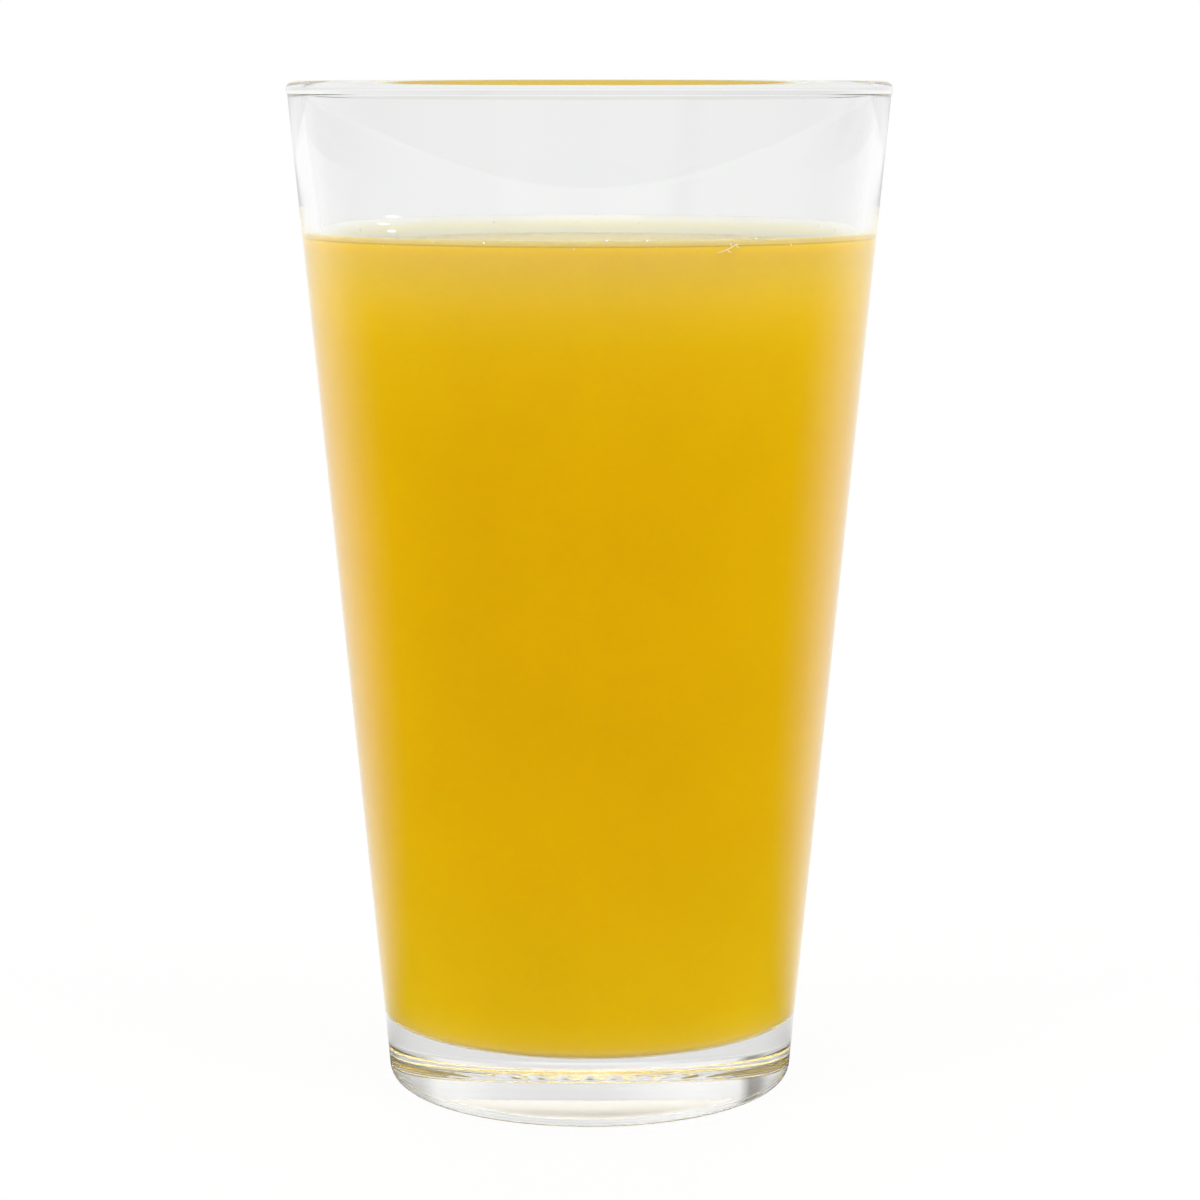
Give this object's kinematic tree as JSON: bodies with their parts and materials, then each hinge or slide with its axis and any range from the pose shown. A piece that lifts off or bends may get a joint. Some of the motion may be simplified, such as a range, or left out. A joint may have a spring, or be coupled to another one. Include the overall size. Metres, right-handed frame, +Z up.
{
  "type": "glass of pineapple juice",
  "caption": "Tapered clear pint glass with a thick base and beaded rim, filled with cloudy yellow pineapple juice to below the rim.",
  "frame": {"origin": "centre of the circle the glass rests on, at table height", "axes": "+Z up along the glass's axis, towards the rim; X and Y are alike, the piece being turned"},
  "size_m": [0.0888, 0.0888, 0.15],
  "materials": {
    "glass": "clear, smooth, fire-polished",
    "juice": "cloudy liquid, glossy surface"
  },
  "bodies": {
    "root": {"glass": "glass", "juice": "juice"}
  },
  "joints": []
}
